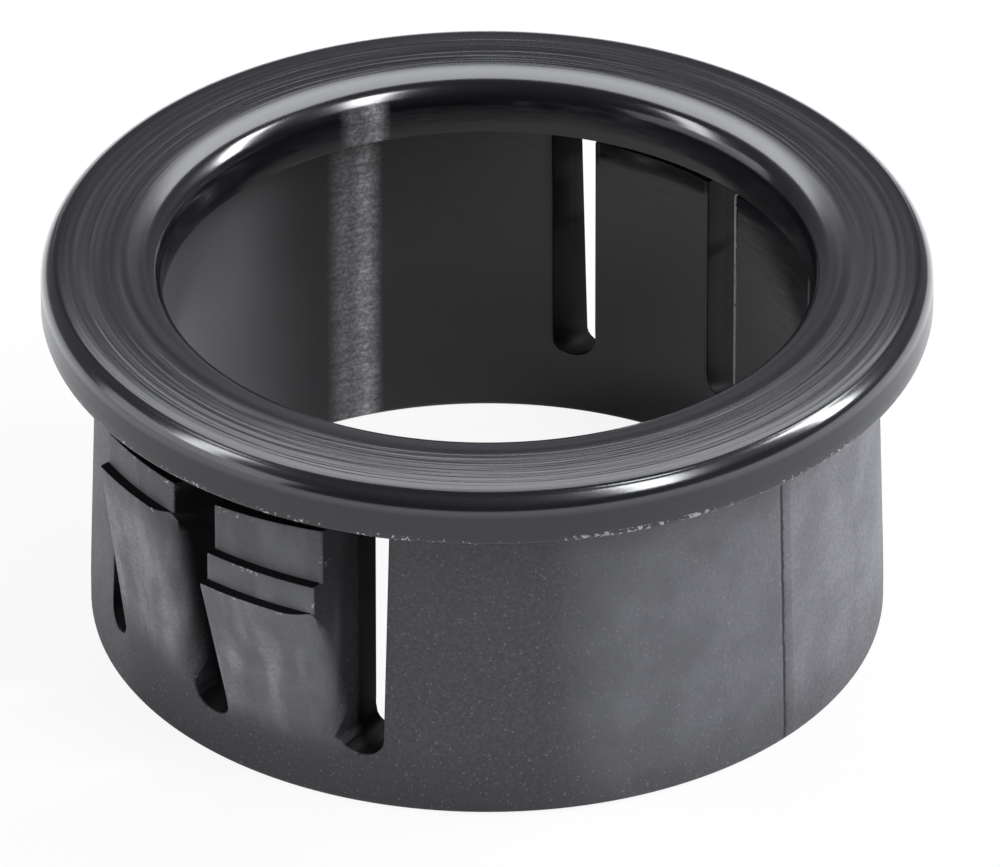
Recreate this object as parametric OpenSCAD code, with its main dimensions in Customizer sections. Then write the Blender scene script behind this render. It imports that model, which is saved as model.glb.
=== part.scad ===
/* [Panel hole] */
// Diameter of the panel hole that the bushing snaps into
hole_d = 22.2; // [18:0.1:32]
// Play on each side between the hole and the end of the barrel
hole_play = 0.02; // [0.01:0.01:0.2]

/* [Flange] */
// Reach of the flange past the edge of the hole
flange_reach = 1.28; // [1:0.02:4]
// Thickness of the flange
flange_t = 1.6; // [1.4:0.1:3]
// Rounding of the flange's outer top edge
rim_round = 0.6; // [0.2:0.1:0.9]
// Rounding of the flange's outer lower edge
under_round = 0.15; // [0.05:0.05:0.3]
// Rounding of the lip that the cable runs over
lip_round = 0.5; // [0.2:0.1:1]

/* [Barrel] */
// Height over all, flange included
overall_h = 11.25; // [10:0.05:18]
// Thickness of the barrel's wall
wall_t = 1.25; // [0.9:0.05:1.5]
// Taper of the barrel on the radius, narrower towards the flange
taper = 0.24; // [0.02:0.02:0.3]
// Step in on the radius from the barrel's inside to the flange's throat
throat_step = 0.8; // [0.3:0.1:1.5]
// Straight land at the end of the barrel, below the taper
end_land = 1.2; // [0.6:0.1:1.5]
// Rounding of the barrel's end, outside and inside
end_round = 0.2; // [0.05:0.05:0.4]

/* [Snap fingers] */
// Width of a pair of fingers with the slot between them
pair_w = 8.1; // [6:0.1:10]
// Gap between the free ends of the fingers and the flange
finger_gap = 0.78; // [0.5:0.02:1.2]
// Height at which the fingers' ramps start, inside the wall
ramp_foot = 0.8; // [0.5:0.1:1.5]
// How far the free end of a finger stands out past the barrel
finger_out = 0.65; // [0.3:0.05:0.9]
// Depth of a ledge on a finger
ledge_d = 0.31; // [0.11:0.02:0.41]
// Thickest panel held by the double-ledge finger's first ledge
grip_first = 2.2; // [1.6:0.1:2.6]
// Thickest panel held by the double-ledge finger's second ledge
grip_second = 3.05; // [2.8:0.05:4]
// Thickest panel held by the single-ledge finger
grip_single = 1.75; // [1.4:0.05:3]

/* [Slots] */
// Width of the slot on each side of a pair
side_slot_w = 1.05; // [0.7:0.05:1.8]
// Width of the slot between two fingers, at the inside of the wall
mid_slot_w = 0.95; // [0.6:0.05:1.6]
// Widening of the middle slot for each millimetre outwards
mid_slot_draft = 0.3; // [0:0.05:0.4]
// Lean of the middle slot on its way out, in degrees towards the single-ledge finger
mid_slot_lean = 9; // [0:1:12]
// Lean of the side slots on their way out, in degrees the same way
side_slot_lean = 3; // [0:1:12]
// Height of the slots' lowest line above the end of the barrel
slot_floor = 1.8; // [1.6:0.1:3]

/* [Hidden] */
$fn = 128;
under_z = overall_h - flange_t;
flange_r = hole_d / 2 + flange_reach;
end_r = hole_d / 2 - hole_play;
neck_r = end_r - taper;
bore_r = end_r - wall_t;
throat_r = bore_r - throat_step;
finger_top = under_z - finger_gap;
side_slot_y = pair_w / 2 + side_slot_w / 2;
cut_back = wall_t + max(side_slot_w, mid_slot_w) / 2;
cut_ahead = wall_t + flange_reach + 0.5;

// Lean of the slot at y
function lean_at(y) = y == 0 ? mid_slot_lean : side_slot_lean;

// Point on a slot's middle line: y is its place in the middle of the wall, along is the way out from there
function slot_point(y, along) =
    [sqrt(pow(end_r - wall_t / 2, 2) - pow(y, 2)) + along * cos(lean_at(y)), y - along * sin(lean_at(y))];

// Sliver outside a rounded corner at [x, y]; inward is the direction to the arc's centre
module corner(x, y, r, inward) {
    centre = [x, y] + r * inward;
    difference() {
        translate([x, y] - r * inward / 2)
            scale_square(1.5 * r, inward);
        translate(centre) circle(r);
    }
}

// Square of one size that grows from the origin in the direction given by two signs
module scale_square(size, signs) {
    translate([min(signs.x, 0), min(signs.y, 0)] * size) square(size);
}

// Half section of the flange and barrel, with the radius along x and the height along y
module body_section() {
    difference() {
        union() {
            translate([throat_r, under_z]) square([flange_r - throat_r, flange_t]);
            polygon([
                [bore_r, 0], [end_r, 0], [end_r, end_land],
                [neck_r, under_z], [neck_r, under_z + flange_t / 4], [bore_r, under_z + flange_t / 4]
            ]);
        }
        corner(flange_r, overall_h, rim_round, [-1, -1]);
        corner(flange_r, under_z, under_round, [-1, 1]);
        corner(throat_r, overall_h, lip_round, [1, -1]);
        corner(end_r, 0, end_round, [-1, 1]);
        corner(bore_r, 0, end_round, [1, 1]);
    }
}

// Half section of a finger: a ramp out of the barrel, then a ledge in at each grip up to its free end
module finger_section(grips) {
    core_r = end_r - wall_t / 2;
    tip_r = end_r + finger_out;
    steps = len(grips);
    polygon(concat(
        [[core_r, ramp_foot], [end_r - wall_t / 10, ramp_foot]],
        [
            for (i = [0 : steps - 1], side = [0, 1])
                [tip_r + (steps - i - side) * ledge_d, under_z - grips[i]]
        ],
        [[tip_r, under_z - finger_gap / 2], [core_r, under_z - finger_gap / 2]]
    ));
}

// Area between the middle lines of two slots
module between_slots(y1, y2) {
    polygon([
        slot_point(y1, -cut_back), slot_point(y1, cut_ahead),
        slot_point(y2, cut_ahead), slot_point(y2, -cut_back)
    ]);
}

// Finger stock on one side of the middle slot; side is 1 or -1
module finger(grips, side) {
    intersection() {
        rotate_extrude() finger_section(grips);
        linear_extrude(overall_h)
            between_slots(min(side, 0) * side_slot_y, max(side, 0) * side_slot_y);
    }
}

// Slot with a round floor, cut outwards through the wall; w is its width at the inside
module slot(y, w, draft) {
    length = cut_back + cut_ahead;
    in_w = w - draft * (cut_back - wall_t / 2);
    out_w = in_w + draft * length;
    arc_z = slot_floor + w / 2;
    start = slot_point(y, -cut_back);
    translate([start.x, start.y, arc_z]) rotate(-lean_at(y)) {
        linear_extrude(overall_h)
            polygon([[0, -in_w / 2], [length, -out_w / 2], [length, out_w / 2], [0, in_w / 2]]);
        rotate([0, 90, 0]) rotate(180) cylinder(h = length, r1 = in_w / 2, r2 = out_w / 2);
    }
}

// Slots of one pair, and the gap that frees the ends of the fingers, all up to the flange
module pair_cuts() {
    intersection() {
        cylinder(h = under_z, r = 2 * flange_r);
        union() {
            slot(0, mid_slot_w, mid_slot_draft);
            for (side = [-1, 1])
                slot(side * side_slot_y, side_slot_w, 0);
            translate([0, 0, finger_top])
                linear_extrude(overall_h) between_slots(-side_slot_y, side_slot_y);
        }
    }
}

// The bushing: one moulding, with a pair of snap fingers on each of two opposite sides
module bushing() {
    color("#2b2b2d")
    difference() {
        union() {
            rotate_extrude() body_section();
            for (turn = [0, 180]) rotate(turn) {
                finger([grip_second, grip_first], 1);
                finger([grip_single], -1);
            }
        }
        for (turn = [0, 180]) rotate(turn) pair_cuts();
    }
}

bushing();
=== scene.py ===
import bpy
import math
from mathutils import Matrix, Vector, noise


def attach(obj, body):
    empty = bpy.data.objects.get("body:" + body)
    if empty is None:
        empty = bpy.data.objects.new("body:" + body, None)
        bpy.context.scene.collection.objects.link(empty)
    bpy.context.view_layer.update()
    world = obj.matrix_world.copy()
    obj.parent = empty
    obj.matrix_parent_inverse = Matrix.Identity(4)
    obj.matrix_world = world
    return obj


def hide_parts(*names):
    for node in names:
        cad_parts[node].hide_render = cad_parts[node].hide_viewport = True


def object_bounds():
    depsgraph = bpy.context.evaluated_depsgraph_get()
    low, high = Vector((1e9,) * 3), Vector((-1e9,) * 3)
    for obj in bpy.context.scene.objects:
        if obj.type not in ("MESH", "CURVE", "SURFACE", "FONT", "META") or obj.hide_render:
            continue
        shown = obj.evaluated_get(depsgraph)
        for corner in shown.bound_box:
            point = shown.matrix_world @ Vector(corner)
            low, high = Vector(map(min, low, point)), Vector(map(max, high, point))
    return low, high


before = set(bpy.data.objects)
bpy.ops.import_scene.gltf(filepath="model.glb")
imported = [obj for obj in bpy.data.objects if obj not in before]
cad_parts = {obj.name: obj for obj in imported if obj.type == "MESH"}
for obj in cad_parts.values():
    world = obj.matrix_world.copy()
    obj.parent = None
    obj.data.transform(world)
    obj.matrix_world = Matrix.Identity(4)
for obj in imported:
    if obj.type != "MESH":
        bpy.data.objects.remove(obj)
cadLow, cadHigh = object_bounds()
mm = 0.001
print("frame loaded")

# sizes of the bushing in millimetres: the part's own, with the fine forms that only the look has
bushing = {
    "height": 11.25,
    "underZ": 9.65,        # underside of the flange
    "flangeR": 12.38,
    "rimRound": 0.6,
    "underRound": 0.15,
    "throatR": 9.03,
    "lipRound": 0.65,
    "lipStart": 10.2,      # where the flange's top starts to fall to the lip
    "lipTilt": 15.0,       # degrees, the fall's end
    "crown": 0.045,        # fall of the flange's top towards its rim
    "endR": 11.08,
    "neckR": 10.84,
    "boreR": 9.83,
    "endLand": 1.2,
    "endRound": 0.2,
    "pairHalf": 4.05,
    "sideSlot": 1.05,
    "midSlot": 0.95,
    "midDraft": 0.3,
    "sideLean": 3.0,       # degrees, towards the single-ledge finger
    "midLean": 9.0,
    "slotFloor": 1.8,
    "floorTilt": 0.25,     # the floors fall outwards
    "rampFoot": 0.8,
    "rootR": 10.955,       # where the fingers' ramps start, inside the wall
    "rootBlend": 0.05,
    "blendReach": 8,       # times the blend, past which the ramp is plain
    "tipR": 11.73,
    "ledge": 0.31,
    "tipZ": 8.87,
    "ledgeFirstZ": 7.45,
    "ledgeSecondZ": 6.6,
    "ledgeSingleZ": 7.9,
    "tipRise": 0.28,       # the double-ledge finger's end rises towards the side slot
    "rampRound": 0.7,      # soft edge of a ramp, on the side of the slot after it
    "rampRoundTop": 0.2,   # what is left of it at the ledge
    "rampRoundGrow": 0.6,  # how fast it grows below the ledge
    "rampRoundZ": (2.2, 3.0),
    "edgeRound": 0.06,
}

# how the mesh is laid out over the moulding
bushingMesh = {
    "slotSteps": 11,
    "fingerPlaces": (0.04, 0.2, 0.36, 0.52, 0.66, 0.79, 0.85, 0.9, 0.945, 0.98),
    "insideFrom": 0.9,     # past this place the inside's columns keep clear of the slot
    "insideShrink": 0.45,
    "fingerWidth": 3.4,
    "barrelStep": 2.0,     # degrees
    "pairRest": 29.5,      # half angle of a finger pair where nothing is cut
    "fan": 0.28,           # first row round a slot's floor
    "fanTurn": (30, 150),  # degrees
    "singleZ": (6.75, 7.15, 7.6),
    "underRows": ((0.3, 0.6), (0.8, 0.25)),
    "sideRows": (0.45, 0.75),
    "topRows": (11.5, 11.1, 10.7, 10.4),
    "lipRows": (0.8, 0.6, 0.4, 0.2, 0.0),
    "stepFollow": (0.25, 0.6),
    "underSteps": 3,
    "rimSteps": 8,
    "rimTurn": 87,         # degrees
    "lipSteps": 8,
    "endSteps": 4,
    "torusR": 0.011,
    "torusTube": 0.001,
    "doubles": 1e-7,
    "bevelAngle": 38,      # degrees
    "bevelSegments": 2,
    "smoothAngle": 35,
    "sameZ": 0.001,
    "aimRounds": 8,
}

# the line that the two halves of the mould leave on the barrel
partingLine = {
    "angle": 90.4,
    "offsets": (-0.5, -0.3, -0.16, -0.08, -0.03, 0.0, 0.04, 0.1, 0.22, 0.34, 0.42, 0.5, 0.66),
    "reach": 1.0,
    "groove": 0.035,
    "grooveHalf": 0.045,
    "grooveNoise": 2.3,
    "grooveSeed": (0.7, 9.2),
    "grooveShare": (0.65, 0.5),
    "wander": 0.02,
    "wanderNoise": 1.7,
    "wanderSeed": (3.1, 0.4),
    "band": 0.4,           # narrow raised strip beside the line
    "bandHeight": 0.014,
    "bandStart": (0.02, 0.08),
    "bandEnd": (-0.08, 0.04),
    "footZ": (0.05, 0.5),
    "headZ": (9.4, 9.6),
}

# heights of the wall's rows, inside and outside, and the rows where something starts
innerHeights = (0.2, 0.55, 0.95, 1.3, 2.28, 2.9, 3.5, 4.1, 4.7, 5.3, 5.8, 6.2, 6.45, 6.85,
                7.1, 7.35, 7.8, 8.3, 8.87, 9.25, 9.65)
outerHeights = (0.2, 0.55, 0.95, 1.3, 2.28, 2.9, 3.5, 4.1, 4.7, 5.3, 5.9, 6.35, 6.6, 6.8,
                7.1, 7.45, 7.7, 8.2, 8.87, 9.25, 9.65)
fanRow, floorRow, doubleRow, singleRow, tipRow, roofRow = 3, 4, 12, 15, 18, 20
wallTurn = {0: 0.0, 1: 0.2, 2: 0.55}       # how far the lowest rows follow the slots

# each slot's place, width, draft and lean
sideSlotY = bushing["pairHalf"] + bushing["sideSlot"] / 2
slotRows = (
    (-sideSlotY, bushing["sideSlot"], 0.0, bushing["sideLean"]),
    (0.0, bushing["midSlot"], bushing["midDraft"], bushing["midLean"]),
    (sideSlotY, bushing["sideSlot"], 0.0, bushing["sideLean"]),
)
midWallR = (bushing["boreR"] + bushing["endR"]) / 2
halfWall = (bushing["endR"] - bushing["boreR"]) / 2


def clamp01(value):
    return max(0.0, min(1.0, value))


def smoothStep(low, high, value):
    t = clamp01((value - low) / (high - low))
    return t * t * (3 - 2 * t)


def mix(a, b, t):
    return a + (b - a) * t


def slotSide(slot, across, radius):
    # tangential place of a point across a leaning slot, at a radius, by a few rounds of aiming
    y, width, draft, lean = slotRows[slot]
    lean = math.radians(lean)
    midX = math.sqrt(midWallR ** 2 - y * y)
    v = y
    along = radius - midWallR
    for step in range(bushingMesh["aimRounds"]):
        half = across * (width + draft * (along + halfWall)) / 2
        reach = math.sqrt(radius ** 2 - v * v) - midX
        along = (reach - half * math.sin(lean)) / math.cos(lean)
        v = y - along * math.sin(lean) + half * math.cos(lean)
    return v


def slotHalf(slot, radius):
    width, draft = slotRows[slot][1:3]
    return (width + draft * (radius - midWallR + halfWall)) / 2


def slotArcZ(slot, radius):
    return bushing["slotFloor"] + slotRows[slot][1] / 2 - bushing["floorTilt"] * (radius - midWallR)


def barrelR(z):
    fall = clamp01((z - bushing["endLand"]) / (bushing["underZ"] - bushing["endLand"]))
    return mix(bushing["endR"], bushing["neckR"], fall)


def rampR(z, topR, topZ):
    # ramp of a finger, run softly out of the barrel's wall
    foot, soft = bushing["rampFoot"], bushing["rootBlend"]
    ramp = mix(bushing["rootR"], topR, (z - foot) / (topZ - foot))
    wall = barrelR(z)
    gap = ramp - wall
    if gap > bushing["blendReach"] * soft:
        return ramp
    return wall + soft * math.log(1 + math.exp(gap / soft))


def doubleRamp(z):
    return rampR(z, bushing["tipR"] + 2 * bushing["ledge"], bushing["ledgeSecondZ"])


def singleRamp(z):
    return rampR(z, bushing["tipR"] + bushing["ledge"], bushing["ledgeSingleZ"])


def doublePlace(row, z):
    # radius and height of a row on the double-ledge finger
    tip, ledge, top = bushing["tipR"], bushing["ledge"], bushing["tipZ"]
    first, second = bushing["ledgeFirstZ"], bushing["ledgeSecondZ"]
    steps = (
        (tip + 2 * ledge, second), (tip + ledge, second), (tip + ledge, (first + second) / 2),
        (tip + ledge, first), (tip, first), (tip, (first + top) / 2), (tip, top),
    )
    return steps[row - doubleRow] if row >= doubleRow else (doubleRamp(z), z)


def singlePlace(row, z):
    # radius and height of a row on the single-ledge finger
    tip, top, edge = bushing["tipR"], bushing["tipZ"], bushing["ledgeSingleZ"]
    steps = ((tip + bushing["ledge"], edge), (tip, edge), (tip, (edge + top) / 2), (tip, top))
    if row >= singleRow:
        return steps[row - singleRow]
    if row >= doubleRow:
        z = bushingMesh["singleZ"][row - doubleRow]
    return singleRamp(z), z


def wallAngle(slot, t, radius):
    return math.asin(slotSide(slot, 2 * t - 1, radius) / radius)


def buildColumns():
    # one entry for each line of vertices round the axis: kind, number and place within its stretch
    slotSteps = bushingMesh["slotSteps"]
    pair = []
    for slot in range(3):
        pair += [("slot", slot, step / slotSteps) for step in range(slotSteps + 1)]
        if slot < 2:
            pair += [("finger", slot, t) for t in bushingMesh["fingerPlaces"]]
    pairEnd = wallAngle(2, 1.0, bushing["endR"])
    nextStart = math.pi + wallAngle(0, 0.0, bushing["endR"])
    part = math.radians(partingLine["angle"])
    angles = [part + d / bushing["endR"] for d in partingLine["offsets"]]
    step = math.radians(bushingMesh["barrelStep"])
    for low, high in ((pairEnd, angles[0]), (angles[-1], nextStart)):
        count = round((high - low) / step)
        angles += [mix(low, high, n / count) for n in range(1, count)]
    angles.sort()
    barrel = [("barrel", 0, (a - pairEnd) / (nextStart - pairEnd)) for a in angles]
    return pair, barrel


def fanPoint(slot, t, radius):
    # a point on the row just outside a slot's round floor
    half = slotHalf(slot, radius)
    reach = half + bushingMesh["fan"]
    turn = math.radians(mix(*bushingMesh["fanTurn"], t))
    v = slotSide(slot, -math.cos(turn) * reach / half, radius)
    return v, slotArcZ(slot, radius) - reach * math.sin(turn)


def columnPlace(column, row, radius):
    # angle within the pair and height of a wall vertex that follows the slots
    kind, number, t = column
    if kind == "slot":
        if row > floorRow:
            return wallAngle(number, t, radius), None
        if row == floorRow:
            v = slotSide(number, -math.cos(math.pi * t), radius)
            z = slotArcZ(number, radius) - slotHalf(number, radius) * math.sin(math.pi * t)
        else:
            v, z = fanPoint(number, t, radius)
        return math.asin(v / radius), z
    if kind == "finger":
        low, lowZ = columnPlace(("slot", number, 1.0), row, radius)
        high, highZ = columnPlace(("slot", number + 1, 0.0), row, radius)
        return mix(low, high, t), None if lowZ is None else mix(lowZ, highZ, t)
    low, lowZ = columnPlace(("slot", 2, 1.0), row, radius)
    high, highZ = columnPlace(("slot", 0, 0.0), row, radius)
    return mix(low, math.pi + high, t), lowZ


def fingerShare(column):
    # how much of the double-ledge and the single-ledge finger shapes a column
    kind, number, t = column
    if kind == "finger":
        return (1.0, 0.0) if number == 1 else (0.0, 1.0)
    if kind == "slot":
        if number == 0:
            return 0.0, smoothStep(0, 1, t)
        if number == 1:
            return t, 1 - t
        return smoothStep(0, 1, 1 - t), 0.0
    return 0.0, 0.0


def rampDrop(column, z):
    # how far a ramp's surface falls back at its soft edge
    kind, number, t = column
    inwards = (1 - t) * bushingMesh["fingerWidth"] if kind == "finger" else 0.0
    soft = bushing["rampRound"]
    if inwards >= soft or (kind == "slot" and t == 1.0):
        return 0.0
    isDouble = number == (1 if kind == "finger" else 2)
    ledgeZ = bushing["ledgeSecondZ"] if isDouble else bushing["ledgeSingleZ"]
    if z > ledgeZ + bushingMesh["sameZ"] or (kind == "slot" and number == 0):
        return 0.0
    fall = soft - math.sqrt(soft ** 2 - (soft - inwards) ** 2)
    most = bushing["rampRoundTop"] + (ledgeZ - z) * bushing["rampRoundGrow"]
    return min(fall * smoothStep(*bushing["rampRoundZ"], z), most)


def tipLift(column):
    # how far the end of the double-ledge finger rises at a column
    kind, number, t = column
    if (kind, number) == ("finger", 1):
        return bushing["tipRise"] * t
    return bushing["tipRise"] if (kind, number, t) == ("slot", 2, 0.0) else 0.0


def partingRelief(angle, z):
    line = partingLine
    d = (angle - math.radians(line["angle"])) * bushing["endR"]
    if abs(d) > line["reach"]:
        return 0.0
    wander = line["wander"] * noise.noise(Vector((z * line["wanderNoise"], *line["wanderSeed"])))
    least, more = line["grooveShare"]
    uneven = noise.noise(Vector((z * line["grooveNoise"], *line["grooveSeed"])))
    depth = line["groove"] * (least + more * uneven)
    groove = -depth * math.exp(-((d - wander) / line["grooveHalf"]) ** 2)
    endLow, endHigh = (line["band"] + edge for edge in line["bandEnd"])
    band = smoothStep(*line["bandStart"], d) * (1 - smoothStep(endLow, endHigh, d))
    relief = groove + line["bandHeight"] * band
    return relief * smoothStep(*line["footZ"], z) * (1 - smoothStep(*line["headZ"], z))


def wallVertex(column, row, rest, outer):
    # radius, angle and height of a vertex on the outside or the inside of the barrel
    kind, number, t = column
    z = (outerHeights if outer else innerHeights)[row]
    radius = barrelR(z) if outer else bushing["boreR"]
    double, single = fingerShare(column)
    if kind == "finger" and not outer:
        # the inside has no soft edge, so its columns keep clear of the slot
        past = max(0.0, t - bushingMesh["insideFrom"])
        column = (kind, number, t - bushingMesh["insideShrink"] * past)
    if outer and floorRow <= row <= tipRow:
        onWall = kind == "finger" or (kind == "slot" and t in (0.0, 1.0))
        onLedge = row == (doubleRow if double == 1.0 else singleRow) + 1
        if onWall and double == 1.0:
            radius, z = doublePlace(row, z)
        elif onWall and single == 1.0:
            radius, z = singlePlace(row, z)
        if onWall and not onLedge:
            radius -= rampDrop(column, z)
    if row == tipRow:
        z += tipLift(column)
    angle, placeZ = columnPlace(column, max(row, fanRow), radius)
    if row in (fanRow, floorRow) and placeZ is not None:
        z = placeZ
        if outer:
            radius = barrelR(z) * (1 - double - single) + double * doubleRamp(z) + single * singleRamp(z)
    angle = mix(rest, angle, wallTurn.get(row, 1.0))
    if outer and kind == "barrel":
        radius += partingRelief(angle, z)
    return radius, angle, z


def arcRows(centreR, centreZ, radius, start, end, steps):
    rows = []
    for step in range(1, steps + 1):
        a = math.radians(mix(start, end, step / steps))
        rows.append((centreR + radius * math.cos(a), centreZ + radius * math.sin(a)))
    return rows


def flangeRows():
    # rows over the flange, from its underside round the rim and the lip to the step in the bore:
    # radius, height and how far the row follows the slots
    plan = bushingMesh
    high, under, outR, inR = (bushing[name] for name in ("height", "underZ", "flangeR", "throatR"))
    rim, low, lip = bushing["rimRound"], bushing["underRound"], bushing["lipRound"]
    tilt, start, crown = math.radians(bushing["lipTilt"]), bushing["lipStart"], bushing["crown"]
    lipR = inR + lip - lip * math.sin(tilt)
    drop = math.tan(tilt) * (start - lipR) / 2
    rimR, rimZ = outR - rim, high - rim - crown
    lipZ = high - drop - lip * math.cos(tilt)

    plain = [(outR - low, under)]
    plain += arcRows(outR - low, under + low, low, -90, 0, plan["underSteps"])
    plain += [(outR, under + up) for up in plan["sideRows"]] + [(outR, rimZ)]
    plain += arcRows(rimR, rimZ, rim, 0, plan["rimTurn"], plan["rimSteps"])
    plain += [(r, high - crown * ((r - start) / (rimR - start)) ** 2) for r in (*plan["topRows"], start)]
    plain += [(mix(lipR, start, t), high - drop * (1 - t) ** 2) for t in plan["lipRows"]]
    plain += arcRows(inR + lip, lipZ, lip, 90 + bushing["lipTilt"], 180, plan["lipSteps"])
    plain += [(inR, mix(lipZ, under, 0.5))]

    rows = [(bushing["neckR"] + out, under, follow) for out, follow in plan["underRows"]]
    rows += [(r, z, 0.0) for r, z in plain]
    stepR = (inR, mix(inR, bushing["boreR"], 0.5))
    return rows + [(r, under, follow) for r, follow in zip(stepR, plan["stepFollow"])]


def buildRows():
    # one entry for each ring of vertices round the section, from the barrel's foot up and back
    endR, boreR, soft = bushing["endR"], bushing["boreR"], bushing["endRound"]
    steps = bushingMesh["endSteps"]
    end = arcRows(boreR + soft, soft, soft, 180, 270, steps)
    end += [(mix(boreR, endR, 0.5), 0.0), (endR - soft, 0.0)]
    end += arcRows(endR - soft, soft, soft, -90, 0, steps)[:-1]
    wall = range(len(outerHeights))
    rows = [("out", n) for n in wall] + [("flange", row) for row in flangeRows()]
    return rows + [("in", n) for n in reversed(wall)] + [("end", row) for row in end]


def layVertices(mesh, columns, rests, rows):
    for i, (column, turn) in enumerate(columns):
        rest = rests[i % len(rests)]
        for j, (kind, data) in enumerate(rows):
            if kind in ("out", "in"):
                radius, angle, z = wallVertex(column, data, rest, kind == "out")
            elif kind == "flange":
                radius, z, follow = data
                edgeR = bushing["neckR"] if radius > bushing["boreR"] else bushing["boreR"]
                angle = mix(rest, columnPlace(column, roofRow, edgeR)[0], follow)
            else:
                radius, z = data
                angle = rest
            a = angle + turn
            place = (radius * math.cos(a) * mm, radius * math.sin(a) * mm, z * mm)
            mesh.vertices[i * len(rows) + j].co = place
    mesh.update()


def isOpen(poly, columns, rows):
    # whether a face of the wall lies in a slot or in the gap over the fingers
    steps = [divmod(v, len(rows)) for v in poly.vertices]
    i = sorted(s[0] for s in steps)
    j = sorted(s[1] for s in steps)
    first = i[-1] if i[-1] - i[0] > 1 else i[0]
    if j[-1] - j[0] > 1:
        return False
    (kindLow, rowLow), (kindHigh, rowHigh) = rows[j[0]], rows[j[-1]]
    if kindLow != kindHigh or kindLow not in ("out", "in"):
        return False
    row = min(rowLow, rowHigh)
    left, right = columns[first][0], columns[(first + 1) % len(columns)][0]
    inSlot = left[0] == "slot" and right[0] == "slot" and left[1] == right[1]
    inFinger = "finger" in (left[0], right[0])
    return (inSlot and row >= floorRow) or (inFinger and row >= tipRow)


def openSlots(mesh, columns, rows):
    # cut the slots and the gap over the fingers outside and inside, then wall them
    for edge in mesh.edges:
        edge.select = False
    for vertex in mesh.vertices:
        vertex.select = False
    for poly in mesh.polygons:
        poly.select = isOpen(poly, columns, rows)
    bpy.ops.object.mode_set(mode="EDIT")
    bpy.ops.mesh.select_mode(type="FACE")
    bpy.ops.mesh.delete(type="FACE")
    for side in (1, -1):
        bpy.ops.mesh.select_mode(type="EDGE")
        bpy.ops.mesh.select_all(action="DESELECT")
        bpy.ops.mesh.select_non_manifold(extend=False, use_wire=False, use_boundary=True,
                                         use_multi_face=False, use_non_contiguous=False,
                                         use_verts=False)
        bpy.ops.object.mode_set(mode="OBJECT")
        for edge in mesh.edges:
            if edge.select and mesh.vertices[edge.vertices[0]].co.x * side < 0:
                edge.select = False
        for poly in mesh.polygons:
            poly.select = False
        for vertex in mesh.vertices:
            vertex.select = vertex.select and vertex.co.x * side > 0
        bpy.ops.object.mode_set(mode="EDIT")
        bpy.ops.mesh.bridge_edge_loops(type="SINGLE")
    bpy.ops.mesh.select_all(action="SELECT")
    bpy.ops.mesh.remove_doubles(threshold=bushingMesh["doubles"])
    bpy.ops.mesh.normals_make_consistent(inside=False)
    bpy.ops.object.mode_set(mode="OBJECT")


def roundEdges(body):
    edges = body.modifiers.new("edges", "BEVEL")
    edges.limit_method = "ANGLE"
    edges.angle_limit = math.radians(bushingMesh["bevelAngle"])
    edges.width = bushing["edgeRound"] * mm
    edges.segments = bushingMesh["bevelSegments"]
    edges.use_clamp_overlap = False
    bpy.ops.object.modifier_apply(modifier="edges")
    bpy.ops.object.shade_smooth_by_angle(angle=math.radians(bushingMesh["smoothAngle"]))
    body.modifiers.new("flats", "WEIGHTED_NORMAL").keep_sharp = True
    bpy.ops.object.modifier_apply(modifier="flats")


def selectNone():
    if bpy.context.mode != "OBJECT":
        bpy.ops.object.mode_set(mode="OBJECT")
    bpy.ops.object.select_all(action="DESELECT")


def makeBushing():
    pair, barrel = buildColumns()
    columns = [(column, turn) for turn in (0.0, math.pi) for column in pair + barrel]
    pairRest = math.radians(bushingMesh["pairRest"])
    rests = [mix(-pairRest, pairRest, n / (len(pair) - 1)) for n in range(len(pair))]
    rests += [mix(pairRest, math.pi - pairRest, column[2]) for column in barrel]
    rows = buildRows()

    selectNone()
    bpy.ops.mesh.primitive_torus_add(major_segments=len(columns), minor_segments=len(rows),
                                     major_radius=bushingMesh["torusR"],
                                     minor_radius=bushingMesh["torusTube"], location=(0, 0, 0))
    body = bpy.context.object
    body.name = "moulding"
    mesh = body.data
    layVertices(mesh, columns, rests, rows)
    print("bushing section laid round", len(columns), "columns and", len(rows), "rows")
    openSlots(mesh, columns, rows)
    print("bushing slots opened:", len(mesh.polygons), "faces")
    roundEdges(body)
    print("bushing edges rounded:", len(mesh.polygons), "faces")
    return body


moulding = makeBushing()

# thin pale flash that the mould left along some edges, and a pale line along one inner edge: their radius
# and height on the fingers
flashEdges = {
    "double": ((12.35, 6.6), (12.04, 7.45), (11.73, 8.87)),
    "single": ((12.04, 7.9), (11.73, 8.87)),
    "reach": 0.07,
    "flangeR": 12.2,
    "flangeZ": (9.6, 9.84),
    "pairHalf": 5.5,
    "pairZ": (2.0, 9.0),
    "insideR": 10.0,
    "paleLineZ": 2.4,
    "sideR": 11.6,
    "sideZ": 6.3,
    "edgeMark": 1.0,
    "sideMark": 0.9,
    "paleLineMark": 2.0,
}

# where shade is painted into the slots: their walls and floors, and the soft ramp edges as they turn away
# from facing outwards
slotShading = {
    "innerR": 9.86,
    "z": (1.2, 9.64),
    "facing": (0.2, 0.92),  # share of the normal that points outwards
    "flatFacing": 0.55,
    "softReach": 0.12,      # walls this near a soft ramp edge have no hard step
}


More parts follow.
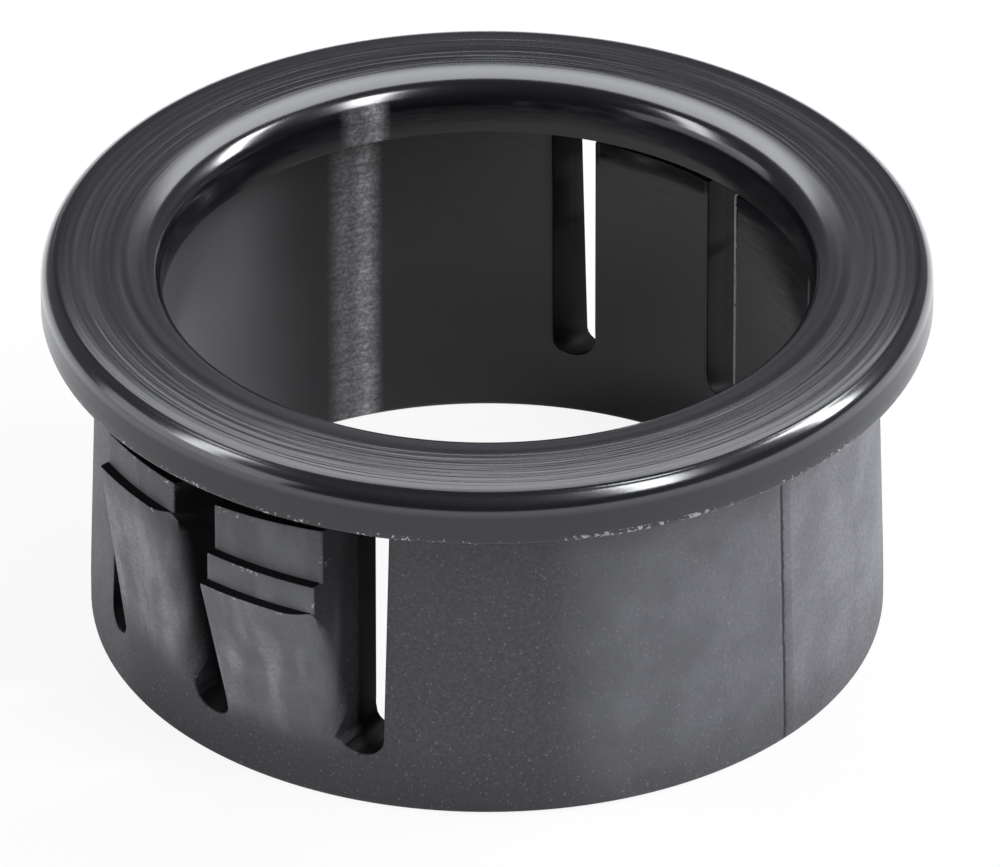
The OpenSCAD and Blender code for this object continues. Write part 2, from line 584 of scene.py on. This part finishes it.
def flashAt(x, y, z):
    marks = flashEdges
    r = math.hypot(x, y)
    low, high = marks["flangeZ"]
    if r > marks["flangeR"] and low < z < high:
        return marks["edgeMark"]
    side = 1 if x > 0 else -1
    across, reach = y * side, marks["reach"]
    low, high = marks["pairZ"]
    if abs(across) > marks["pairHalf"] or not low <= z <= high:
        return 0.0
    if r < marks["insideR"]:
        # a pale line along one inner edge of the far middle slot
        onPaleLine = side > 0 and z > marks["paleLineZ"] and abs(across - slotSide(1, -1, r)) < reach
        return marks["paleLineMark"] if onPaleLine else 0.0
    edges = marks["double" if across > 0 else "single"]
    if any(math.hypot(r - edgeR, z - edgeZ) < reach for edgeR, edgeZ in edges):
        return marks["edgeMark"]
    wall = slotSide(2 if across > 0 else 1, -1, r)
    onSide = r > marks["sideR"] and z > marks["sideZ"] and abs(across - wall) < reach
    return marks["sideMark"] if onSide else 0.0


def slotFacing(place, normal):
    # radius of a place in the slots' span and how far it faces outwards, or none
    x, y, z = place / mm
    r = math.hypot(x, y)
    low, high = slotShading["z"]
    if r > slotShading["innerR"] and low < z < high:
        return r, abs(normal.x * x + normal.y * y) / r
    return None


def isFlatWall(poly):
    spot = slotFacing(poly.center, poly.normal)
    if spot is None or spot[1] >= slotShading["flatFacing"]:
        return False
    across = poly.center.y / mm * (1 if poly.center.x > 0 else -1)
    return all(abs(across - slotSide(slot, -1, spot[0])) >= slotShading["softReach"] for slot in (1, 2))


def markSurfaces(body):
    mesh = body.data
    flash = mesh.attributes.new("flash", "FLOAT", "POINT")
    for vertex, value in zip(mesh.vertices, flash.data):
        value.value = flashAt(*(vertex.co / mm))
    print("flash marked on", sum(1 for v in flash.data if v.value > 0), "points")
    # painted shade: how far each point in the slots' span turns away from facing outwards
    recessShade = mesh.attributes.new("recessShade", "FLOAT", "POINT")
    for vertex, value in zip(mesh.vertices, recessShade.data):
        spot = slotFacing(vertex.co, vertex.normal)
        value.value = 1 - smoothStep(*slotShading["facing"], spot[1]) if spot else 0.0
    walls = mesh.attributes.new("slotWallShade", "FLOAT", "FACE")
    for poly, value in zip(mesh.polygons, walls.data):
        value.value = 1.0 if isFlatWall(poly) else 0.0
    print("slot walls marked on", sum(1 for v in walls.data if v.value > 0), "faces")


markSurfaces(moulding)


def addNode(tree, kind, **values):
    node = tree.nodes.new(kind)
    for name, value in values.items():
        setattr(node, name, value)
    return node


def feed(tree, socket, value):
    if isinstance(value, bpy.types.NodeSocket):
        tree.links.new(value, socket)
    else:
        socket.default_value = value


def feedAll(tree, sockets, values):
    for socket, value in zip(sockets, values):
        feed(tree, socket, value)


def calc(tree, operation, *values):
    node = addNode(tree, "ShaderNodeMath", operation=operation)
    feedAll(tree, node.inputs, values)
    return node.outputs[0]


def rise(tree, value, low, high, fromValue=0.0, toValue=1.0):
    # soft step from one value to another
    node = addNode(tree, "ShaderNodeMapRange", interpolation_type="SMOOTHSTEP")
    feedAll(tree, node.inputs, (value, low, high, fromValue, toValue))
    return node.outputs[0]


def grain(tree, vector, scale, detail, roughness):
    node = addNode(tree, "ShaderNodeTexNoise")
    feed(tree, node.inputs["Vector"], vector)
    node.inputs["Scale"].default_value = scale
    node.inputs["Detail"].default_value = detail
    node.inputs["Roughness"].default_value = roughness
    return node.outputs[0]


def blend(tree, share, a, b):
    node = addNode(tree, "ShaderNodeMix", data_type="RGBA")
    feedAll(tree, (node.inputs[0], node.inputs[6], node.inputs[7]), (share, a, b))
    return node.outputs[2]


def vector3(tree, x, y, z):
    node = addNode(tree, "ShaderNodeCombineXYZ")
    feedAll(tree, node.inputs, (x, y, z))
    return node.outputs[0]


# black nylon: a satin flange, a glossy inside and a fine-grained outside
nylonLook = {
    "satin": (0.008, 0.008, 0.0102, 1),
    "rubbed": (0.018, 0.018, 0.0215, 1),
    "inside": (0.006, 0.006, 0.0076, 1),
    # painted sheen on the inside
    "paintedSheen": (0.45, 0.44, 0.45, 1),
    # painted shade in the slots' walls and floors
    "slots": (0.002, 0.002, 0.0024, 1),
    "grained": (0.028, 0.028, 0.033, 1),
    # pale tone of the far mould half, raised as painted sheen at the barrel's right edge
    "palerAndSheen": (0.17, 0.17, 0.183, 1),
    # the ramps are painted lighter than the barrel as sheen; the flow streaks in them are real
    "fingers": (0.13, 0.13, 0.139, 1),
    "flow": (0.24, 0.24, 0.252, 1),
    "mottled": (0.095, 0.095, 0.103, 1),
    # random clouding, and also painted shade at the barrel's foot
    "cloudedAndShade": (0.02, 0.02, 0.024, 1),
    "speck": (0.22, 0.22, 0.235, 1),
    "flash": (0.34, 0.34, 0.36, 1),
    # painted shade in the parting line's groove
    "line": (0.003, 0.003, 0.004, 1),
    "ior": 1.53,
    "coatRoughness": 0.16,
}

# soft steps between the finishes, in millimetres or in shares of a turn or of a noise
nylonSteps = {
    "flange": (9.62, 9.68),
    "topZ": (11.12, 11.17),
    "topR": (9.8, 10.15),
    "outer": (10.42, 10.55),
    "fingers": (11.14, 11.5),
    "throat": (9.05, 9.25, 1.0, 0.0),
    "nearSheen": (-0.76, -0.9, 0.0, 0.65),
    "halfPale": (0.42, 0.5),
    "farPale": (0.25, 0.45, 0.0, 0.6),
    "flow": (0.42, 0.66),
    "rampTop": (6.4, 7.8, 1.0, 0.35),
    "cloud": (0.35, 0.65, 0.0, 0.3),
    "mottle": (0.36, 0.66, 0.0, 0.4),
    "foot": (0.2, 2.6, 0.5, 0.0),
    "speck": (0.72, 0.8, 0.0, 0.45),
    "line": (0.025, 0.065, 0.9, 0.0),
    "stripe": (0.0, 0.05, 1.0, 0.0),
    "stripeBeside": (0.0, 0.06, 0.5, 0.0),
    "stripeLevels": (0.3, 0.7, 0.5, 1.0),
    "stripeFine": (0.35, 0.65, 0.5, 1.0),
    "sheenPatch": (0.34, 0.0, 0.0, 0.16),
    "sheenSide": (0.2, 0.4),
    "rings": (0.4, 0.7),
    "torn": (0.06, 0.2, 0.07, 0.0),
    "tornSide": (0.0, -0.2),
    "chips": (0.79, 0.87),
    "chipMark": (0.7, 0.95),
    "paleLine": (0.3, 0.42),
    "paleLineMark": (1.0, 1.5),
    "glossRings": (0.3, 0.75, 0.16, 0.24),
    "glossInside": (0.3, 0.7, 0.14, 0.24),
    "roughBarrel": (0.3, 0.7, 0.46, 0.6),
    "specular": (0.0, 1.0, 0.5, 0.12),
    "coat": (10.5, 10.75),
}

# noises: stretch along and round the axis where they run in rings, then scale, detail and roughness
nylonGrain = {
    "rings": (3.2, 0.6, 1.0, 2.0, 0.6),
    "fineRings": (9.0, 1.4, 1.0, 2.0, 0.6),
    "levels": (7.0, 12.0, 1.0, 3.0, 0.7),
    "flow": (0.22, 1.1, 1.0, 2.0, 0.5),
    "fine": (9.0, 2.0, 0.65),
    "cloud": (0.7, 2.0, 0.5),
    "speck": (13.0, 0.0, 0.5),
    "broken": (6.0, 2.0, 0.7),
    "wander": (2.5, 2.0, 0.5),
}

# other shares: places are cosines of the angle round the axis, or millimetres
nylonShares = {
    "fingerTaper": 0.028,
    "lineX": 0.08,
    "lineWander": 0.16,
    "stripeAt": 0.458,
    "stripeBesideAt": 0.4,
    "tornAt": -0.41,
    "cloudChips": 0.4,
    "topCoat": 0.7,
    "roughSheen": 0.35,
    "roughSlots": 0.5,
    "roughFlash": 0.6,
    "bumpFine": 0.02,
    "bumpRings": 0.016,
    "bumpFineRings": 0.012,
    "bumpLevels": 0.003,
}


def makeNylon():
    look, share = nylonLook, nylonShares
    material = bpy.data.materials.new("blackNylon")
    material.use_nodes = True
    tree = material.node_tree
    shader = tree.nodes["Principled BSDF"]

    def times(a, b):
        return calc(tree, "MULTIPLY", a, b)

    def plus(a, b):
        return calc(tree, "ADD", a, b)

    def most(a, b):
        return calc(tree, "MAXIMUM", a, b)

    def rest(a):
        return calc(tree, "SUBTRACT", 1.0, a)

    def off(a, middle):
        return calc(tree, "ABSOLUTE", calc(tree, "SUBTRACT", a, middle))

    def step(name, value):
        return rise(tree, value, *nylonSteps[name])

    def over(mask, base, paint):
        return blend(tree, mask, base, paint)

    def mark(name):
        return addNode(tree, "ShaderNodeAttribute", attribute_name=name).outputs["Fac"]

    # places in millimetres, and the way round the axis
    scaled = addNode(tree, "ShaderNodeVectorMath", operation="SCALE")
    tree.links.new(addNode(tree, "ShaderNodeTexCoord").outputs["Object"], scaled.inputs[0])
    scaled.inputs["Scale"].default_value = 1 / mm
    place = scaled.outputs[0]
    split = addNode(tree, "ShaderNodeSeparateXYZ")
    tree.links.new(place, split.inputs[0])
    x, y, z = split.outputs
    r = calc(tree, "SQRT", plus(times(x, x), times(y, y)))
    cosA, sinA = calc(tree, "DIVIDE", x, r), calc(tree, "DIVIDE", y, r)

    def spread(name):
        return grain(tree, place, *nylonGrain[name])

    def stretched(name, along, first, second):
        alongScale, roundScale = nylonGrain[name][:2]
        parts = times(along, alongScale), times(first, roundScale), times(second, roundScale)
        return grain(tree, vector3(tree, *parts), *nylonGrain[name][2:])

    # where each finish is
    flange = step("flange", z)
    top = times(step("topZ", z), step("topR", r))
    outer = step("outer", r)
    barrel = times(outer, rest(flange))
    fingers = times(barrel, step("fingers", calc(tree, "MULTIPLY_ADD", z, share["fingerTaper"], r)))
    throat = times(step("throat", r), flange)
    inner = most(times(rest(outer), rest(flange)), throat)
    # painted shade in the slots' walls and floors and on the soft ramp edges turning into them, which
    # also get a rougher, less shiny finish
    slots = most(mark("recessShade"), mark("slotWallShade"))
    flashMark = mark("flash")

    # rubbed rings round the flange, fine level marks down the inside, and the outside's grain
    rings = stretched("rings", r, cosA, sinA)
    fineRings = stretched("fineRings", r, cosA, sinA)
    levels = stretched("levels", z, cosA, sinA)
    fine, cloud, broken = spread("fine"), spread("cloud"), spread("broken")
    flowScale, flowRound = nylonGrain["flow"][:2]
    flowPlace = vector3(tree, times(x, flowRound), times(y, flowRound), times(z, flowScale))
    flow = grain(tree, flowPlace, *nylonGrain["flow"][2:])

    # the outside: paler on the far half of the mould and, as painted sheen, on towards the barrel's right
    # edge; the ramps lighter still, as painted sheen over their flow streaks
    # painted sheen: paler as the near side turns towards the right edge
    grained = over(step("nearSheen", sinA), look["grained"], look["palerAndSheen"])
    grained = over(step("halfPale", x), grained, look["palerAndSheen"])
    grained = over(step("farPale", sinA), grained, look["palerAndSheen"])
    # painted sheen on the ramps over their flow streaks, fading from the lower ledge upwards
    rampsWithSheen = over(step("flow", flow), look["fingers"], look["flow"])
    grained = over(times(fingers, step("rampTop", z)), grained, rampsWithSheen)
    grained = over(step("cloud", cloud), grained, look["cloudedAndShade"])
    grained = over(step("mottle", fine), grained, look["mottled"])
    # painted shade: darker towards the barrel's foot, near the floor
    grained = over(step("foot", z), grained, look["cloudedAndShade"])
    grained = over(times(step("speck", spread("speck")), rest(fingers)), grained, look["speck"])

    # painted shade along the parting line's groove, which wanders a little
    lineNoise = grain(tree, vector3(tree, 0.0, 0.0, z), *nylonGrain["wander"])
    wander = calc(tree, "MULTIPLY_ADD", lineNoise, share["lineWander"], -share["lineWander"] / 2)
    grained = over(step("line", off(plus(x, wander), share["lineX"])), grained, look["line"])

    # painted sheen: pale stripes of reflection down the far side of the inside, broken up by its level
    # marks, and a fainter, rougher painted reflection to their left
    stripes = plus(step("stripe", off(cosA, share["stripeAt"])),
                   step("stripeBeside", off(cosA, share["stripeBesideAt"])))
    stripes = times(stripes, times(step("stripeLevels", levels), step("stripeFine", fine)))
    sheenPatch = times(step("sheenPatch", cosA), rest(flange))
    sheenMask = times(times(plus(stripes, sheenPatch), inner), step("sheenSide", sinA))

    # pale chips of flash, more of them where an edge is torn, and a pale line inside
    torn = times(step("torn", off(cosA, share["tornAt"])), step("tornSide", sinA))
    chips = step("chips", plus(calc(tree, "MULTIPLY_ADD", cloud, share["cloudChips"], broken), torn))
    chips = times(chips, step("chipMark", flashMark))
    paleLine = times(step("paleLineMark", flashMark), step("paleLine", broken))
    flash = most(times(chips, rest(slots)), paleLine)

    colour = over(step("rings", rings), look["satin"], look["rubbed"])
    # the inside, with painted sheen over it
    colour = over(inner, colour, over(sheenMask, look["inside"], look["paintedSheen"]))
    colour = over(barrel, colour, grained)
    # painted shade in the slots
    colour = over(slots, colour, look["slots"])
    colour = over(flash, colour, look["flash"])
    tree.links.new(colour, shader.inputs["Base Color"])

    gloss = plus(times(rest(inner), step("glossRings", rings)), times(inner, step("glossInside", levels)))
    rough = plus(times(barrel, step("roughBarrel", fine)), times(rest(barrel), gloss))
    for part, name in ((sheenMask, "roughSheen"), (slots, "roughSlots"), (flash, "roughFlash")):
        rough = most(rough, times(part, share[name]))
    tree.links.new(rough, shader.inputs["Roughness"])
    shader.inputs["IOR"].default_value = look["ior"]
    tree.links.new(step("specular", slots), shader.inputs["Specular IOR Level"])
    coat = times(times(step("coat", z), rest(throat)), rest(times(top, share["topCoat"])))
    tree.links.new(coat, shader.inputs["Coat Weight"])
    shader.inputs["Coat Roughness"].default_value = look["coatRoughness"]

    height = times(times(fine, times(barrel, rest(slots))), share["bumpFine"])
    height = plus(height, times(times(rings, top), share["bumpRings"]))
    height = plus(height, times(times(fineRings, top), share["bumpFineRings"]))
    height = plus(height, times(times(levels, inner), share["bumpLevels"]))
    bump = addNode(tree, "ShaderNodeBump")
    bump.inputs["Distance"].default_value = mm
    bump.inputs["Strength"].default_value = 1.0
    tree.links.new(height, bump.inputs["Height"])
    tree.links.new(bump.outputs[0], shader.inputs["Normal"])
    return material


nylon = makeNylon()
moulding.data.materials.clear()
moulding.data.materials.append(nylon)
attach(moulding, "root")
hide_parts("bushing")
print("nylon laid on")

# plain paper floor that reads as white and still takes a faint shadow
studioFloor = {"side": 4.0, "paper": (0.8, 0.8, 0.8, 1), "white": 0.9, "mirrored": 0.2}


def makeFloor():
    selectNone()
    bpy.ops.mesh.primitive_plane_add(size=studioFloor["side"], location=(0, 0, 0))
    floor = bpy.context.object
    floor.name = "paperFloor"
    material = bpy.data.materials.new("whitePaper")
    material.use_nodes = True
    tree = material.node_tree
    tree.nodes.clear()
    path = addNode(tree, "ShaderNodeLightPath").outputs
    seen = calc(tree, "MAXIMUM", path["Is Camera Ray"], path["Is Transmission Ray"])
    share = calc(tree, "MAXIMUM", calc(tree, "MULTIPLY", seen, studioFloor["white"]),
                 calc(tree, "MULTIPLY", path["Is Glossy Ray"], studioFloor["mirrored"]))
    paper = addNode(tree, "ShaderNodeBsdfDiffuse")
    paper.inputs["Color"].default_value = studioFloor["paper"]
    glow = addNode(tree, "ShaderNodeEmission")
    glow.inputs["Strength"].default_value = 1.0
    both = addNode(tree, "ShaderNodeMixShader")
    out = addNode(tree, "ShaderNodeOutputMaterial")
    feedAll(tree, both.inputs, (share, paper.outputs[0], glow.outputs[0]))
    tree.links.new(both.outputs[0], out.inputs[0])
    floor.data.materials.append(material)


makeFloor()

# the photograph's viewing angle: a long lens from the left front, looking down
photoCamera = {
    "azimuth": -47.6,
    "elevation": 32.2,
    "distance": 0.594,     # to the middle of the flange's top
    "lens": 771.7,
    "sensor": 36,
    "clip": (0.01, 20),
    "aimRight": 0.000357,
    "aimDown": 0.004938,
}

# soft boxes: way out and long axis as seen from the camera (right, towards it, up),
# size in metres, power in watts
studioLights = {
    "over": {
        "way": (0.0, -0.6, 0.8), "lean": (0.0, 0.8, 0.6),
        "wide": 0.28, "deep": 0.225, "power": 0.68,
    },
    "right": {
        "way": (0.772, -0.198, 0.604), "lean": (-0.436, -0.302, 0.85),
        "wide": 0.065, "deep": 0.26, "power": 1.35,
    },
    "front": {
        "way": (0.495, 0.401, 0.771), "lean": (-0.27, -0.66, 0.7),
        "wide": 0.075, "deep": 0.28, "power": 1.2,
    },
    "left": {
        "way": (-0.743, 0.068, 0.666), "lean": (0.38, -0.42, 0.82),
        "wide": 0.07, "deep": 0.26, "power": 0.5,
    },
    "lowLeft": {
        "way": (-0.93, 0.2, 0.25), "lean": (0.0, 0.0, 1.0),
        "wide": 0.45, "deep": 0.24, "power": 0.55,
    },
}

# the room round them: brighter behind the bushing than behind the camera
studioRoom = {
    "far": 0.42,
    "middle": (0, 0, 0.008),
    "lamp": (0.95, 0.965, 1.0),
    "behind": (0.16, 0.164, 0.178, 1),
    "front": (0.05, 0.05, 0.055, 1),
    "turn": (-0.3, 0.9),
}


def cameraWay(right, towards, up):
    a = math.radians(photoCamera["azimuth"])
    sideways, forwards = Vector((math.cos(a), math.sin(a), 0)), Vector((math.sin(a), -math.cos(a), 0))
    return sideways * right + forwards * towards + Vector((0, 0, up))


def makeLights():
    for name, box in studioLights.items():
        data = bpy.data.lights.new("softBox." + name, "AREA")
        data.shape = "RECTANGLE"
        data.size, data.size_y = box["wide"], box["deep"]
        data.energy = box["power"]
        data.color = studioRoom["lamp"]
        lamp = bpy.data.objects.new("softBox." + name, data)
        bpy.context.collection.objects.link(lamp)
        out = cameraWay(*box["way"]).normalized()
        across = cameraWay(*box["lean"]).cross(out).normalized()
        lamp.location = Vector(studioRoom["middle"]) + out * studioRoom["far"]
        lamp.rotation_euler = Matrix((across, out.cross(across), out)).transposed().to_euler()


def makeRoom():
    world = bpy.data.worlds.new("studio")
    bpy.context.scene.world = world
    world.use_nodes = True
    tree = world.node_tree
    along = addNode(tree, "ShaderNodeVectorMath", operation="DOT_PRODUCT")
    tree.links.new(addNode(tree, "ShaderNodeTexCoord").outputs["Generated"], along.inputs[0])
    along.inputs[1].default_value = cameraWay(0, -1, 0)
    share = rise(tree, along.outputs["Value"], *studioRoom["turn"])
    room = blend(tree, share, studioRoom["front"], studioRoom["behind"])
    tree.links.new(room, tree.nodes["Background"].inputs["Color"])


makeLights()
makeRoom()
print("floor and lights set")


def makeCamera():
    e = math.radians(photoCamera["elevation"])
    back = cameraWay(0, math.cos(e), math.sin(e))
    right = cameraWay(1, 0, 0)
    up = back.cross(right)
    flangeTop = Vector((0, 0, cadHigh.z))
    data = bpy.data.cameras.new("photoView")
    data.lens = photoCamera["lens"]
    data.sensor_width = photoCamera["sensor"]
    data.clip_start, data.clip_end = photoCamera["clip"]
    camera = bpy.data.objects.new("photoView", data)
    bpy.context.collection.objects.link(camera)
    camera.location = flangeTop + back * photoCamera["distance"]
    aim = flangeTop + right * photoCamera["aimRight"] - up * photoCamera["aimDown"]
    camera.rotation_euler = (aim - camera.location).to_track_quat("-Z", "Y").to_euler()
    bpy.context.scene.camera = camera


makeCamera()
bpy.context.scene.view_settings.view_transform = "Standard"
print("camera set")
